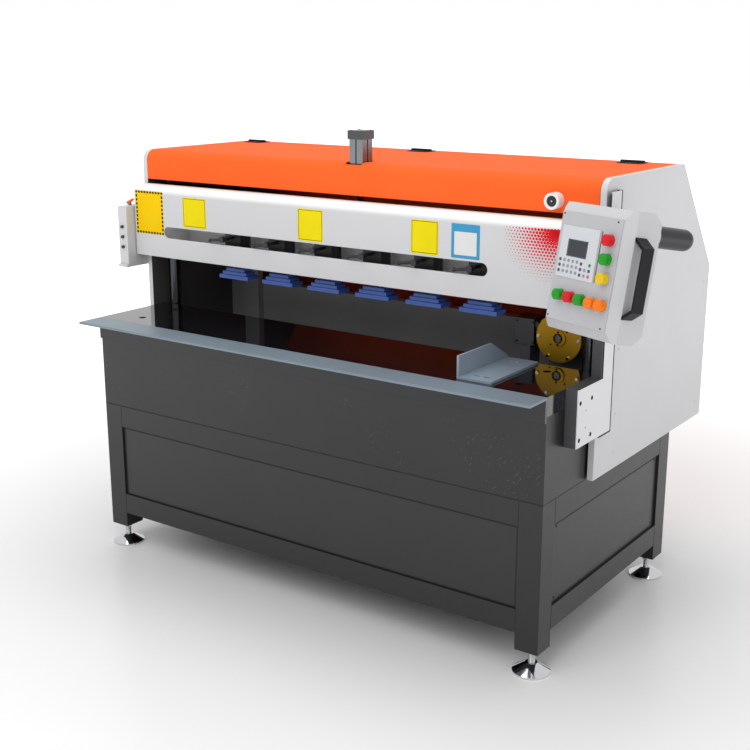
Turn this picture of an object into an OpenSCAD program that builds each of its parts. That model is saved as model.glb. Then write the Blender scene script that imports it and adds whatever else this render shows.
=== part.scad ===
// Acrylic edge polisher: a granite table on a steel frame, a pneumatic pressing
// beam with six pads, a travelling cutter head behind the table and a control
// console on a swinging arm. X runs along the table, Y to the rear, Z up.

/* [Base frame] */
// Length of the base frame and of the table
frame_l = 1850; // [1700:10:2100]
// Depth of the base frame
frame_d = 954; // [900:2:1040]
// Height of the top of the frame above the floor
frame_top = 563; // [500:1:640]
// Side of the square legs
leg_w = 80; // [60:1:100]
// Wall of the square tubes
tube_t = 5; // [3:0.5:8]
// Height of the upper rails
rail_h = 82; // [60:1:100]
// Height of the lower rails
low_rail_h = 77; // [50:1:100]
// Depth of the rails
rail_d = 60; // [40:1:70]
// Height of the lower rails above the legs' ends
low_rail_up = 56; // [20:1:90]
// Recess of the infill panels behind the rails' faces
panel_recess = 8; // [2:1:20]
// Thickness of the infill panels
panel_t = 3; // [2:0.5:6]
// Depth of the folded edge of a panel
panel_fold = 18; // [10:1:30]

/* [Levelling feet] */
// Height of the legs' ends above the floor
foot_h = 79; // [70:1:110]
// Diameter of a foot disc
foot_d = 120; // [80:1:140]
// Diameter of a foot's threaded stem
stem_d = 20; // [12:1:30]

/* [Table] */
// Depth of the granite table
table_d = 329; // [300:1:360]
// Height of the table's face above the frame
table_h = 330; // [280:1:360]
// Thickness of the table slab
slab_t = 60; // [40:1:90]
// Thickness of the apron slabs
apron_t = 40; // [25:1:60]
// Diameter of the fixture holes in the table
fixture_d = 26; // [16:1:30]
// Overhang of the edge profile in front of the table
profile_out = 104; // [60:1:140]
// Thickness of the edge profile
profile_t = 8; // [5:1:12]
// Height of the edge profile's apron
profile_h = 78; // [50:1:110]

/* [Fence] */
// Distance of the fence's left face from the right housing
fence_in = 322; // [300:1:360]
// Height of the fence
fence_h = 72; // [40:1:76]
// Width of the fence's base
fence_w = 119; // [90:1:150]
// Thickness of the fence
fence_t = 8; // [5:1:12]
// Length of the fence
fence_l = 298; // [240:1:305]

/* [Housings] */
// Thickness of the side housings
housing_t = 20; // [14:1:30]
// Sheet wall of the side housings
housing_wall = 3; // [2:0.5:4]
// Reach of the housings behind the middle of the frame
housing_rear = 690; // [640:1:740]
// Height at which the rear starts to slope
shoulder_z = 1113; // [1000:1:1200]
// Depth of the level top of the housings
top_d = 590; // [560:1:640]
// Radius of the housings' and the hood's front edge
nose_r = 40; // [20:1:60]
// Thickness of the deck plate
deck_t = 12; // [8:1:20]

/* [Hood] */
// Height of the hood's front
hood_front_h = 108; // [80:1:130]
// Sheet thickness of the hood and rear cover
sheet_t = 3; // [2:0.5:4]
// Height of the hood's lower edge above the beam's cover
hood_up = 39; // [20:1:60]
// Distance of the hinge line in front of the rear slope
hinge_in = 55; // [45:1:80]
// Width of a hinge
hinge_w = 85; // [50:1:110]

/* [Pressing beam] */
// Overlap of the beam's cover in front of each housing
beam_over = 15; // [8:1:19]
// Height of the beam's cover
beam_h = 242; // [210:1:260]
// Lower edge of the beam's cover above the table
beam_up = 205; // [190:1:225]
// Distance of the slot's left end from the left housing
slot_left_in = 135; // [120:1:200]
// Distance of the slot's right end from the right housing
slot_right_in = 337; // [300:1:400]
// Height of the slot
slot_h = 42; // [32:1:50]
// Stroke of the beam
stroke = 70; // [40:1:75]
// Distance of the first pad from the slot's left end
pad_first_in = 298; // [270:1:320]
// Distance of the last pad from the slot's right end
pad_last_in = 58; // [55:1:80]
// Length of a pad
pad_l = 137; // [110:1:150]
// Depth of a pad
pad_d = 60; // [40:1:62]
// Diameter of the guide columns
column_d = 44; // [30:1:50]

/* [Pneumatic cylinder] */
// Side of the cylinder's square body
cyl_w = 55; // [45:1:60]
// Side of the cylinder's end cap
cyl_cap_w = 64; // [60:1:68]
// Height of the end cap
cyl_cap_h = 29; // [15:1:40]
// Height of the cylinder's top above the hood
cyl_up = 103; // [80:1:130]
// Diameter of the piston rod
rod_d = 20; // [12:1:25]

/* [Cutter head] */
// Diameter of the cutter disc
cutter_d = 160; // [120:1:180]
// Height of the spindle above the table
spindle_up = 62; // [50:1:80]
// Distance of the parked spindle from the right housing
spindle_in = 196; // [190:1:230]
// Diameter of the spindle motor
motor_d = 140; // [110:1:150]

/* [Console] */
// Width of the console's face
console_w = 240; // [220:1:250]
// Height of the console's box
console_h = 360; // [330:1:370]
// Depth of the console's box
console_d = 116; // [90:1:120]
// Turn of the console towards the user
console_yaw = 21.8; // [15:0.1:24]
// Backward tilt of the console
console_tilt = 9.8; // [5:0.1:12]
// Diameter of the console's arm
arm_d = 62; // [50:1:66]
// Diameter of the push buttons
button_d = 32; // [24:1:34]
// Travel of the push buttons
button_travel = 4; // [2:0.5:4.5]

/* [Hidden] */

// Overrun of cuts, gap between pieces that move apart, and running clearance
cut = 1;
gap = 0.3;
run_gap = 0.08;
big_fn = 96;
fine_fn = 48;
small_fn = 32;

// Base frame heights and places
leg_x = frame_l / 2 - leg_w / 2;
leg_y = frame_d / 2 - leg_w / 2;
low_rail_z = foot_h + low_rail_up;
low_rail_top = low_rail_z + low_rail_h;
up_rail_z = frame_top - rail_h;
foot_plate_t = 12;
bay_gap = 0.5;

// Levelling foot
foot_rim_h = 6;
foot_cone_h = 26;
foot_neck_d = 38;
nut_w = 34;
nut_h = 16;
stem_up = 30;

// Table and edge profile
table_top = frame_top + table_h;
table_front = -frame_d / 2;
table_rear = table_front + table_d;
fixture_side_in = 135;
fixture_side = frame_l / 2 - fixture_side_in;
fixture_front_in = 81;
fixture_pitch = 175;
fixture_depth = 32;

// Fence
fence_set_back = 22;
fence_front = table_front + fence_set_back;
fence_full_l = 195;
fence_tail_h = 14;
fence_slot_w = 9;
fence_slot_in = 28;
fence_slot_out = 23;
fence_slot_l = fence_w - fence_t - fence_slot_in - fence_slot_out;
fence_slot_front = 40;
fence_slot_rear_in = 42;
fence_slot_rear = fence_l - fence_slot_rear_in;

// Beam and housing heights
beam_low = table_top + beam_up;
beam_top = beam_low + beam_h;
hood_low_z = beam_top + hood_up;
housing_top = hood_low_z + hood_front_h;

// Housings, deck and covers
house_side = 5;
house_in = frame_l / 2 + house_side;
house_out = house_in + housing_t;
house_set_front = 52;
house_front = table_rear - house_set_front;
house_top_rear = house_front + top_d;
fence_x = house_in - fence_in;
deck_rear = housing_rear - sheet_t;

// Support plate on the right side
plate_t = 3;
plate_side = 16;
plate_set_front = 161;
plate_low_set = 69;
plate_drop = 180;
strip_set_back = 3;
strip_below_top = 37;
plate_out = house_out + plate_side;
plate_in = plate_out - plate_t;
plate_front = house_front - plate_set_front;
plate_low_rear = house_front + plate_low_set;
plate_low_z = table_top - plate_drop;
strip_front = house_front + strip_set_back;
strip_top = housing_top - strip_below_top;
spacer_lip = 4;
plate_hole_d = 14;
plate_hole_small_d = 5;
plate_hole_depth = 25;
plate_hole_front_in = 17;
plate_hole_up = 23;
plate_hole_y = plate_front + plate_hole_front_in;
plate_hole_z = plate_low_z + plate_hole_up;
plate_hole_dy = 76;
plate_hole_dz = 114;
plate_small_front_in = 56;
plate_small_up = 54;
plate_small_y = plate_front + plate_small_front_in;
plate_small_z = plate_low_z + plate_small_up;
plate_small_dz = 53;
spacer_gap = 0.5;

// Hood and hinges
hood_gap = 0.7;
hood_half = house_in - hood_gap;
hood_lip = 15;
hood_rib = 25;
hinge_y = house_top_rear - hinge_in;
hinge_pin_r = 2;
hinge_knuckle_r = 5;
hinge_z = housing_top + hinge_knuckle_r;
hinge_leaf_t = 3;
hinge_leaf_d = 28;
hinge_split = 0.5;
hinge_play = 1.5;
hinge_side_in = 43;
hinge_right_in = 138;
hinge_middle_x = -44;
hinge_xs = [-house_in + hinge_side_in + hinge_w / 2, hinge_middle_x, house_in - hinge_right_in];
knob_side_in = 140;
knob_x = house_in - knob_side_in;
knob_up = 37;
knob_d = 50;
knob_l = 35;
knob_dial_d = 33;
knob_dial_in = 3;
cover_front = hinge_y + hinge_split;

// Pressing beam
beam_set_front = 60;
beam_front = house_front - beam_set_front;
cover_t = 3;
cover_bend = 10;
cover_gap = 6;
cover_flange_rear = house_front - cover_gap;
beam_l = 2 * (house_in + beam_over);
slot_left = slot_left_in - house_in;
slot_right = house_in - slot_right_in;
slot_l = slot_right - slot_left;
slot_up = 95;
slot_z = beam_low + slot_up;
body_front = beam_front + cover_t;
body_d = 172;
body_side_gap = 6;
body_up = 6;
body_rear = body_front + body_d;
body_half = house_in - body_side_gap;
body_low = beam_low + body_up;
body_h = 140;
body_top = body_low + body_h;
channel_end = 104;
channel_wall = 20;
channel_floor = 40;
channel_half = body_half - channel_end;
channel_rear = body_rear - channel_wall;
channel_low = body_low + channel_floor;
channel_h = 84;
pad_back = 75;
pad_y = beam_front + pad_back;
pad_count = 6;
first_pad_x = slot_left + pad_first_in;
pad_pitch = (slot_l - pad_first_in - pad_last_in) / (pad_count - 1);
pad_up = 148;
pad_low = table_top + pad_up;
pad_step_hs = [14, 12, 11];
pad_step_in_shares = [0, 0.09, 0.18];
pin_d = 12;
pin_play = 2;
pin_slot_w = pin_d + pin_play;
pin_off = 17;
block_l = 74;
block_d = 56;
block_h = 66;
lever_hub_d = 22;
lever_arm_l = 58;
lever_root_d = 12;
lever_arm_d = 8;
lever_ball_d = 14;
lever_drop = 8;
lever_out = 17;
lever_front = beam_front - lever_out;
lever_neck_d = 12;
neck_hole_depth = 27;
neck_end_gap = 2;
column_in = 45;
column_gap = 1;
boss_wall = 10;
column_x = house_in - column_in;
column_y = table_rear + column_gap + column_d / 2;
boss_d = column_d + 2 * boss_wall;
boss_h = 26;
crossbeam_front_gap = 4;
crossbeam_back = 45;
crossbeam_up = 6;
crossbeam_front = house_front + hood_rib + crossbeam_front_gap;
crossbeam_rear = column_y + crossbeam_back;
crossbeam_low = hood_low_z + crossbeam_up;
crossbeam_h = 60;
crossbeam_t = 6;

// Pneumatic cylinder
cyl_x = 25;
cyl_set_front = 15;
cyl_y = column_y - cyl_set_front;
cyl_top = housing_top + cyl_up;
cyl_low = crossbeam_low + crossbeam_h;
cyl_bore_d = 40;
piston_h = 20;
piston_gap = 4;
rod_hole_gap = 2;
cyl_cap_low = cyl_top - cyl_cap_h;
cyl_bore_low = cyl_cap_low - 2 * piston_gap - piston_h - stroke;
cyl_groove_w = 6;
cyl_groove_d = 4;
cyl_flange_h = 12;
hood_hole_side = 2;
hood_hole_gap = 2;
hood_hole_rear_gap = 2.5;
hood_hole_rear = cyl_w / 2 + hood_hole_rear_gap;
// The hole's front clears the cap's front edge as the hood swings up
cap_reach = hinge_y - cyl_y + cyl_cap_w / 2;
cap_rise = cyl_top - hinge_z;
hood_hole_front = hinge_y - sqrt(cap_reach * cap_reach + cap_rise * cap_rise) - hood_hole_gap;

// Cutter head
way_set_back = 178;
way_front = table_rear + way_set_back;
way_d = 160;
way_end_gap = 25;
way_half = house_in - way_end_gap;
way_h = 170;
way_top = frame_top + deck_t + way_h;
rail_w = 20;
rail_tall = 18;
rail_in = 30;
slide_w = 44;
slide_l = 70;
slide_gap = 0.3;
plate_thick = 20;
carriage_d = 210;
carriage_set_front = 44;
carriage_front = way_front - carriage_set_front;
spindle_z = table_top + spindle_up;
spindle_x = house_in - spindle_in;
disc_set_front = 69;
disc_front = way_front - disc_set_front;
disc_t = 18;
shaft_d = 40;
motor_set_front = 18;
motor_front = way_front - motor_set_front;
motor_l = 205;
motor_hole_l = 45;
riser_l = 140;
hub_d = 52;
hub_t = 6;
hub_bore_d = 26;
hub_bore_depth = 8;
insert_count = 6;
insert_d = 11;
insert_t = 6;
insert_in = 9;
nozzle_l = 72;
nozzle_gap = 17;
nozzle_x = spindle_x - cutter_d / 2 - nozzle_gap - nozzle_l;
nozzle_set_front = 55;
nozzle_y = way_front - nozzle_set_front;
nozzle_d = 80;
carriage_left_out = 5;
carriage_right_out = 126;
carriage_left = nozzle_x - carriage_left_out;
carriage_right = spindle_x + carriage_right_out;
travel_end = 15;
travel = carriage_left + way_half - travel_end;
nozzle_drop = 41;
nozzle_low = spindle_z - nozzle_drop;
nozzle_h = 88;
nozzle_wall = 4;
duct_d = 30;
duct_gap = 5;
guard_y = motor_front + motor_l + duct_gap + duct_d;
guard_up = 39;
guard_top = table_top + guard_up;
guard_lip = 40;
duct_in = 95;
duct_x = -house_in + duct_in;
duct_l = 75;
duct_below = 79;
duct_top = hood_low_z - duct_below;

// Pneumatic box on the left side
box_t = 46;
box_set_front = 100;
box_front = house_front - box_set_front;
box_d = 150;
box_drop = 46;
box_low = beam_low - box_drop;
box_h = 228;
box_lip_h = 10;
box_lip = 10;
fitting_d = 12;
fitting_l = 8;

// Console, placed by the centre of its face
tilt_c = cos(console_tilt);
tilt_s = sin(console_tilt);
yaw_c = cos(console_yaw);
yaw_s = sin(console_yaw);
console_side = 32;
console_gap = 17.3;
console_up = 161.7;
console_x = plate_out + console_side;
console_y = beam_front - console_gap - console_d * tilt_c * yaw_c - console_w / 2 * yaw_s;
console_z = beam_low + console_up;
box_chamfer_front = 27;
face_h = console_h - 2 * box_chamfer_front;
face_t = 3;
box_chamfer_run = 16;
box_chamfer_rear = 26;
box_chamfer_rear_run = 31;
box_side = 25;
pocket_side = 8;
pocket_d = 60;
hub_side_in = 32;
hub_top_in = 62;
hub_x = console_w / 2 - hub_side_in;
hub_z = console_h / 2 - hub_top_in;
console_hub_d = 72;
console_hub_t = 26;
elbow_back = 267;
leg_tube_d = 50;
pivot_out = 40;
pivot_y = (strip_front + plate_low_rear) / 2;
eye_d = 56;
eye_h = 54;
pivot_pin_d = 20;
lug_t = 12;
flange_t = 8;
flange_w = 64;
panel_side_in = 12;
panel_left = -console_w / 2 + panel_side_in;
panel_w = 150;
panel_low = -30;
panel_h = 145;
panel_thick = 2;
screen_side_in = 34;
screen_left = panel_left + screen_side_in;
screen_w = 74;
screen_low = 33;
screen_h = 42;
screen_depth = 1;
handle_out = 30;
handle_half = 107;
handle_drop = 22;
handle_bar = 5;
handle_w = 42;
handle_back = 25;
button_h = 20;
button_gap = 1;
button_lift = button_travel + button_gap;
bezel_h = 5;
bezel_w = 3;
button_stem_d = 20;
button_stem_l = 24;
button_place_shares = [[0.738, 0.607], [0.747, 0.269], [0.754, -0.074], [-0.578, -0.518],
    [-0.217, -0.526], [0.145, -0.53], [0.507, -0.542], [0.833, -0.542]];
button_places = [for (p = button_place_shares) [p[0] * console_w / 2, p[1] * face_h / 2]];
button_colours = ["red", "green", "gold", "green", "red", "green", "darkorange", "darkorange"];

// Middle of the bounding box, where the origin lies
elbow_in = elbow_back * tilt_c + hub_z * tilt_s;
elbow_x = console_x + hub_x * yaw_c + elbow_in * yaw_s;
elbow_y = console_y - hub_x * yaw_s + elbow_in * yaw_c;
elbow_z = console_z + hub_z * tilt_c - elbow_back * tilt_s;
pivot_x = plate_out + pivot_out;
box_min_x = -house_out - box_t;
box_max_x = elbow_x + arm_d / 2;
mid_x = (box_min_x + box_max_x) / 2;
mid_y = (table_front - profile_out + housing_rear) / 2;

// Helpers
module placed() {
    translate([-mid_x, -mid_y, 0]) children();
}

module block(x0, x1, y0, y1, z0, z1) {
    translate([x0, y0, z0]) cube([x1 - x0, y1 - y0, z1 - z0]);
}

module along_x(x0, x1) {
    translate([x0, 0, 0]) rotate([90, 0, 90]) linear_extrude(x1 - x0) children();
}

module rod_x(r, l, fn = fine_fn) {
    rotate([0, 90, 0]) cylinder(r = r, h = l, $fn = fn);
}

module rod_y(r, l, fn = fine_fn) {
    rotate([-90, 0, 0]) cylinder(r = r, h = l, $fn = fn);
}

module at_legs() {
    for (sx = [-1, 1], sy = [-1, 1])
        translate([sx * leg_x, sy * leg_y, 0]) children();
}

module on_console() {
    translate([console_x, console_y, console_z])
        rotate([0, 0, -console_yaw])
            rotate([-console_tilt, 0, 0])
                children();
}

// Base frame
module rails(inset) {
    run = frame_l / 2 - leg_w + (inset > 0 ? leg_w / 2 : 0);
    deep = frame_d / 2 - leg_w + (inset > 0 ? leg_w / 2 : 0);
    for (z = [[low_rail_z, low_rail_top], [up_rail_z, frame_top]]) {
        for (s = [-1, 1]) {
            y_mid = s * (frame_d / 2 - rail_d / 2);
            x_mid = s * (frame_l / 2 - rail_d / 2);
            half = rail_d / 2 - inset;
            block(-run, run, y_mid - half, y_mid + half, z[0] + inset, z[1] - inset);
            block(x_mid - half, x_mid + half, -deep, deep, z[0] + inset, z[1] - inset);
        }
    }
}

module base_frame() {
    leg_half = leg_w / 2;
    hollow_half = leg_w / 2 - tube_t;
    color("#3f3f40") placed() difference() {
        union() {
            at_legs() block(-leg_half, leg_half, -leg_half, leg_half, foot_h, frame_top);
            rails(0);
        }
        at_legs() block(-hollow_half, hollow_half, -hollow_half, hollow_half,
            foot_h + foot_plate_t, frame_top - tube_t);
        rails(tube_t);
        at_legs() translate([0, 0, foot_h - cut])
            cylinder(r = stem_d / 2 + run_gap, h = foot_plate_t + 2 * cut, $fn = fine_fn);
    }
}

module foot_profile() {
    cone_top = foot_rim_h + foot_cone_h;
    polygon([[0, 0], [foot_d / 2, 0], [foot_d / 2, foot_rim_h], [foot_neck_d / 2, cone_top],
        [stem_d / 2, cone_top], [stem_d / 2, foot_h + stem_up], [0, foot_h + stem_up]]);
}

module levelling_feet() {
    color("silver") placed() at_legs() union() {
        rotate_extrude($fn = big_fn) foot_profile();
        translate([0, 0, foot_h - nut_h]) cylinder(d = nut_w, h = nut_h, $fn = 6);
    }
}

// A sheet panel of width w and height h with its edges folded back
module folded_panel(w, h) {
    difference() {
        block(-w / 2, w / 2, 0, panel_fold, 0, h);
        block(-w / 2 + panel_t, w / 2 - panel_t, panel_t, panel_fold + cut,
            panel_t, h - panel_t);
    }
}

module front_panel() {
    color("#3f3f40") placed()
        translate([0, -frame_d / 2 + panel_recess, low_rail_top])
            folded_panel(frame_l - 2 * leg_w - 2 * bay_gap, up_rail_z - low_rail_top);
}

module infill_panels() {
    h = up_rail_z - low_rail_top;
    color("#4a4a4b") placed() {
        translate([0, frame_d / 2 - panel_recess, low_rail_top]) rotate([0, 0, 180])
            folded_panel(frame_l - 2 * leg_w - 2 * bay_gap, h);
        for (s = [-1, 1])
            translate([s * (frame_l / 2 - panel_recess), 0, low_rail_top]) rotate([0, 0, s * 90])
                folded_panel(frame_d - 2 * leg_w - 2 * bay_gap, h);
    }
}

module deck_plate() {
    color("#5a5a5c") placed()
        block(-house_in, house_in, table_rear, deck_rear, frame_top, frame_top + deck_t);
}

// Table
module marble_top() {
    color("#151517") placed() difference() {
        block(-frame_l / 2, frame_l / 2, table_front, table_rear, table_top - slab_t, table_top);
        for (sx = [-1, 1], k = [0, 1])
            translate([sx * fixture_side, table_front + fixture_front_in + k * fixture_pitch,
                table_top - fixture_depth])
                cylinder(d = fixture_d, h = fixture_depth + cut, $fn = fine_fn);
    }
}

module marble_apron() {
    top = table_top - slab_t;
    color("#1c1c1f") placed() {
        block(-frame_l / 2, frame_l / 2, table_front, table_front + apron_t, frame_top, top);
        for (s = [-1, 1])
            translate([s * (frame_l / 2 - apron_t / 2), 0, 0])
                block(-apron_t / 2, apron_t / 2, table_front + apron_t, table_rear, frame_top, top);
    }
}

module edge_profile() {
    color("#7f909c") placed() difference() {
        block(-frame_l / 2, frame_l / 2, table_front - profile_out, table_front,
            table_top - profile_h, table_top);
        block(-frame_l / 2 - cut, frame_l / 2 + cut, table_front - profile_out - cut,
            table_front - profile_t, table_top - profile_h - cut, table_top - profile_t);
    }
}

module fence() {
    tail = fence_front + fence_l;
    color("#8496a3") placed() translate([fence_x, 0, table_top + gap]) difference() {
        union() {
            rotate([90, 0, 90]) linear_extrude(fence_t)
                polygon([[fence_front, 0], [tail, 0], [tail, fence_tail_h],
                    [fence_front + fence_full_l, fence_h], [fence_front, fence_h]]);
            block(0, fence_w, fence_front, tail, 0, fence_t);
        }
        for (y = [fence_slot_front, fence_slot_rear]) {
            translate([fence_t + fence_slot_in, fence_front + y, -cut])
                linear_extrude(fence_t + 2 * cut) slot_shape(fence_slot_l, fence_slot_w);
        }
    }
}

// An obround of full length l and width w, from x = 0
module slot_shape(l, w) {
    union() {
        translate([w / 2, -w / 2]) square([l - w, w]);
        translate([w / 2, 0]) circle(d = w, $fn = fine_fn);
        translate([l - w / 2, 0]) circle(d = w, $fn = fine_fn);
    }
}

// Support plate and spacer on the right side
module support_plate() {
    color("white") placed() difference() {
        along_x(plate_in, plate_out)
            polygon([[plate_front, plate_low_z], [plate_low_rear, plate_low_z],
                [plate_low_rear, strip_top], [strip_front, strip_top],
                [strip_front, table_top], [plate_front, table_top]]);
        for (i = [0, 1], j = [0, 1])
            translate([plate_in - cut, plate_hole_y + i * plate_hole_dy,
                plate_hole_z + j * plate_hole_dz])
                rod_x(plate_hole_d / 2, plate_t + 2 * cut);
        for (j = [0, 1])
            translate([plate_in - cut, plate_small_y, plate_small_z + j * plate_small_dz])
                rod_x(plate_hole_small_d / 2, plate_t + 2 * cut, small_fn);
    }
}

module spacer_block() {
    split = house_front - spacer_gap;
    rear = plate_low_rear;
    color("#333437") placed() difference() {
        union() {
            block(frame_l / 2, plate_in, plate_front, rear, plate_low_z, table_top);
            block(house_in, plate_in, split - spacer_lip, rear, plate_low_z, hood_low_z);
        }
        block(frame_l / 2 - cut, house_out, split, rear + cut, plate_low_z - cut, hood_low_z + cut);
        for (i = [0, 1], j = [0, 1])
            translate([plate_in - plate_hole_depth, plate_hole_y + i * plate_hole_dy,
                plate_hole_z + j * plate_hole_dz])
                rod_x(plate_hole_d / 2, plate_hole_depth + cut);
    }
}

// Housings
module housing_shape() {
    union() {
        polygon([[house_front, frame_top], [housing_rear, frame_top], [housing_rear, shoulder_z],
            [house_top_rear, housing_top], [house_front + nose_r, housing_top],
            [house_front, housing_top - nose_r]]);
        translate([house_front + nose_r, housing_top - nose_r]) circle(r = nose_r, $fn = big_fn);
    }
}

module housing_hollow() {
    w = 2 * housing_wall;
    polygon([[house_front + w, frame_top - cut], [housing_rear - w, frame_top - cut],
        [housing_rear - w, shoulder_z - w], [house_top_rear - w, housing_top - w],
        [house_front + nose_r, housing_top - w], [house_front + w, housing_top - nose_r]]);
}

module left_housing() {
    color("white") placed() difference() {
        along_x(-house_out, -house_in) housing_shape();
        along_x(-house_out + housing_wall, -house_in - housing_wall) housing_hollow();
    }
}

module right_housing() {
    color("white") placed() difference() {
        along_x(house_in, house_out) housing_shape();
        along_x(house_in + housing_wall, house_out - housing_wall) housing_hollow();
    }
}

module rear_cover() {
    t = sheet_t;
    color("#ff6a35") placed() along_x(-house_in, house_in)
        polygon([[cover_front, housing_top], [house_top_rear, housing_top],
            [housing_rear, shoulder_z], [housing_rear, frame_top],
            [housing_rear - t, frame_top], [housing_rear - t, shoulder_z - t / 2],
            [house_top_rear - t, housing_top - t], [cover_front + t, housing_top - t],
            [cover_front + t, housing_top - hood_rib], [cover_front, housing_top - hood_rib]]);
}

// Hood
module hood_shape(t) {
    rear = hinge_y - hinge_split - t;
    r = nose_r - t;
    union() {
        polygon([[house_front + t, hood_low_z], [house_front + t, housing_top - nose_r],
            [house_front + nose_r, housing_top - nose_r], [house_front + nose_r, housing_top - t],
            [rear, housing_top - t], [rear, hood_low_z]]);
        translate([house_front + nose_r, housing_top - nose_r]) circle(r = r, $fn = big_fn);
    }
}

module hood() {
    x0 = cyl_x - cyl_cap_w / 2 - hood_hole_side;
    x1 = cyl_x + cyl_cap_w / 2 + hood_hole_side;
    color("#ff6a35") placed() difference() {
        union() {
            difference() {
                along_x(-hood_half, hood_half) hood_shape(0);
                along_x(-hood_half + sheet_t, hood_half - sheet_t) hood_shape(sheet_t);
                block(-hood_half - cut, hood_half + cut, house_front + hood_rib, hinge_y + cut,
                    hood_low_z - cut, housing_top - hood_rib);
            }
            block(-hood_half + sheet_t, hood_half - sheet_t, house_front, house_front + hood_lip,
                hood_low_z, hood_low_z + sheet_t);
        }
        block(x0, x1, hood_hole_front, cyl_y + hood_hole_rear,
            housing_top - nose_r, housing_top + cut);
    }
}

module hinge_leaf(s) {
    inner = hinge_knuckle_r - hinge_leaf_t / 3;
    y0 = s > 0 ? inner : -inner - hinge_leaf_d;
    translate([-hinge_w / 2, y0, -hinge_knuckle_r]) cube([hinge_w, hinge_leaf_d, hinge_leaf_t]);
}

module hinge_fixed_leaves() {
    third = hinge_w / 3;
    color("#222222") placed() for (x = hinge_xs) translate([x, hinge_y, hinge_z]) union() {
        difference() {
            hinge_leaf(1);
            translate([-hinge_w / 6 - hinge_split, 0, 0])
                rod_x(hinge_knuckle_r + hinge_play, third + 2 * hinge_split);
        }
        for (x0 = [-hinge_w / 2, hinge_w / 6 + hinge_split])
            translate([x0, 0, 0]) rod_x(hinge_knuckle_r, third - hinge_split);
        translate([-hinge_w / 2, 0, 0]) rod_x(hinge_pin_r, hinge_w);
    }
}

module hinge_moving_leaves() {
    third = hinge_w / 3;
    color("#222222") placed() for (x = hinge_xs) translate([x, hinge_y, hinge_z]) difference() {
        union() {
            difference() {
                hinge_leaf(-1);
                for (x0 = [-hinge_w / 2 - cut, hinge_w / 6])
                    translate([x0, 0, 0]) rod_x(hinge_knuckle_r + hinge_play, third + cut);
            }
            translate([-third / 2, 0, 0]) rod_x(hinge_knuckle_r, third);
        }
        translate([-hinge_w / 2 - cut, 0, 0]) rod_x(hinge_pin_r + run_gap, hinge_w + 2 * cut);
    }
}

module hood_knob() {
    color("white") placed() translate([knob_x, house_front - knob_l, hood_low_z + knob_up])
        difference() {
            rod_y(knob_d / 2, knob_l);
            translate([0, -cut, 0]) rod_y(knob_dial_d / 2, knob_dial_in + cut);
        }
}

// Beam, columns and cylinder
module top_crossbeam() {
    t = crossbeam_t;
    top = crossbeam_low + crossbeam_h;
    color("#4a4b4e") placed() difference() {
        block(-house_in, house_in, crossbeam_front, crossbeam_rear, crossbeam_low, top);
        block(-house_in - cut, house_in + cut, crossbeam_front + t, crossbeam_rear - t,
            crossbeam_low + t, top - t);
        translate([cyl_x, cyl_y, crossbeam_low - cut])
            cylinder(r = rod_d / 2 + rod_hole_gap, h = crossbeam_h + 2 * cut, $fn = fine_fn);
    }
}

module pressing_beam() {
    color("#d8d8da") placed() difference() {
        union() {
            block(-body_half, body_half, body_front, body_rear, body_low, body_top);
            for (s = [-1, 1])
                translate([s * column_x, column_y, body_low - boss_h])
                    cylinder(d = boss_d, h = boss_h + cut, $fn = big_fn);
        }
        block(-channel_half, channel_half, body_front - cut, channel_rear,
            channel_low, channel_low + channel_h);
        translate([slot_left, pad_y, body_low - cut])
            linear_extrude(channel_low - body_low + 2 * cut) slot_shape(slot_l, pin_slot_w);
        for (s = [-1, 1])
            translate([s * column_x, column_y, body_low - boss_h - cut])
                cylinder(d = column_d + 2 * run_gap, h = body_h + boss_h + 2 * cut, $fn = big_fn);
    }
}

module cover_profile() {
    difference() {
        union() {
            translate([beam_front, beam_low])
                square([cover_flange_rear - beam_front, beam_h - cover_bend]);
            translate([beam_front + cover_bend, beam_top - 2 * cover_bend])
                square([cover_flange_rear - beam_front - cover_bend, 2 * cover_bend]);
            translate([beam_front + cover_bend, beam_top - cover_bend])
                circle(r = cover_bend, $fn = big_fn);
        }
        translate([beam_front + cover_t, beam_low - cut])
            square([cover_flange_rear - beam_front, beam_h - cover_bend + cut]);
        translate([beam_front + cover_bend, beam_top - 2 * cover_bend])
            square([cover_flange_rear - beam_front, 2 * cover_bend - cover_t]);
        translate([beam_front + cover_bend, beam_top - cover_bend])
            circle(r = cover_bend - cover_t, $fn = big_fn);
    }
}

module beam_cover() {
    color("white") placed() difference() {
        along_x(-beam_l / 2, beam_l / 2) cover_profile();
        translate([slot_left, beam_front - cut, slot_z]) rotate([90, 0, 0])
            mirror([0, 0, 1]) linear_extrude(cover_t + 2 * cut) slot_shape(slot_l, slot_h);
    }
}

module guide_columns() {
    color("silver") placed() for (s = [-1, 1])
        translate([s * column_x, column_y, frame_top + deck_t])
            cylinder(d = column_d, h = crossbeam_low - frame_top - deck_t, $fn = big_fn);
}

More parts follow.
